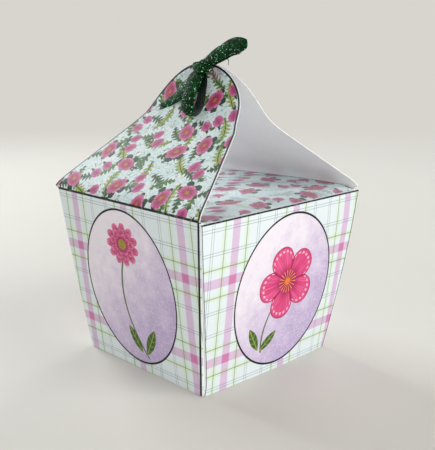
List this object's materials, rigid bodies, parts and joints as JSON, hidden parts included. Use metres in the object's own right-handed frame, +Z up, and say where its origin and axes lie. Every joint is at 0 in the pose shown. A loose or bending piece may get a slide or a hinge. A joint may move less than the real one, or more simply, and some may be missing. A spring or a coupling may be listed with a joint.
{
  "type": "favor box",
  "caption": "Folded card favor box with leaning walls, a flat lid and two tall flaps tied together over it with a glitter ribbon.",
  "frame": {"origin": "middle of the square base, on the surface it stands on", "axes": "+Z up; +X towards the wall that carries the lid; -Y towards the wall of the front tall flap, where the bow is"},
  "size_m": [0.074, 0.074, 0.1112],
  "materials": {
    "printed_card": "matte",
    "glitter_ribbon": "satin"
  },
  "bodies": {
    "root": {"folded_card": "printed_card", "ribbon": "glitter_ribbon"}
  },
  "joints": []
}
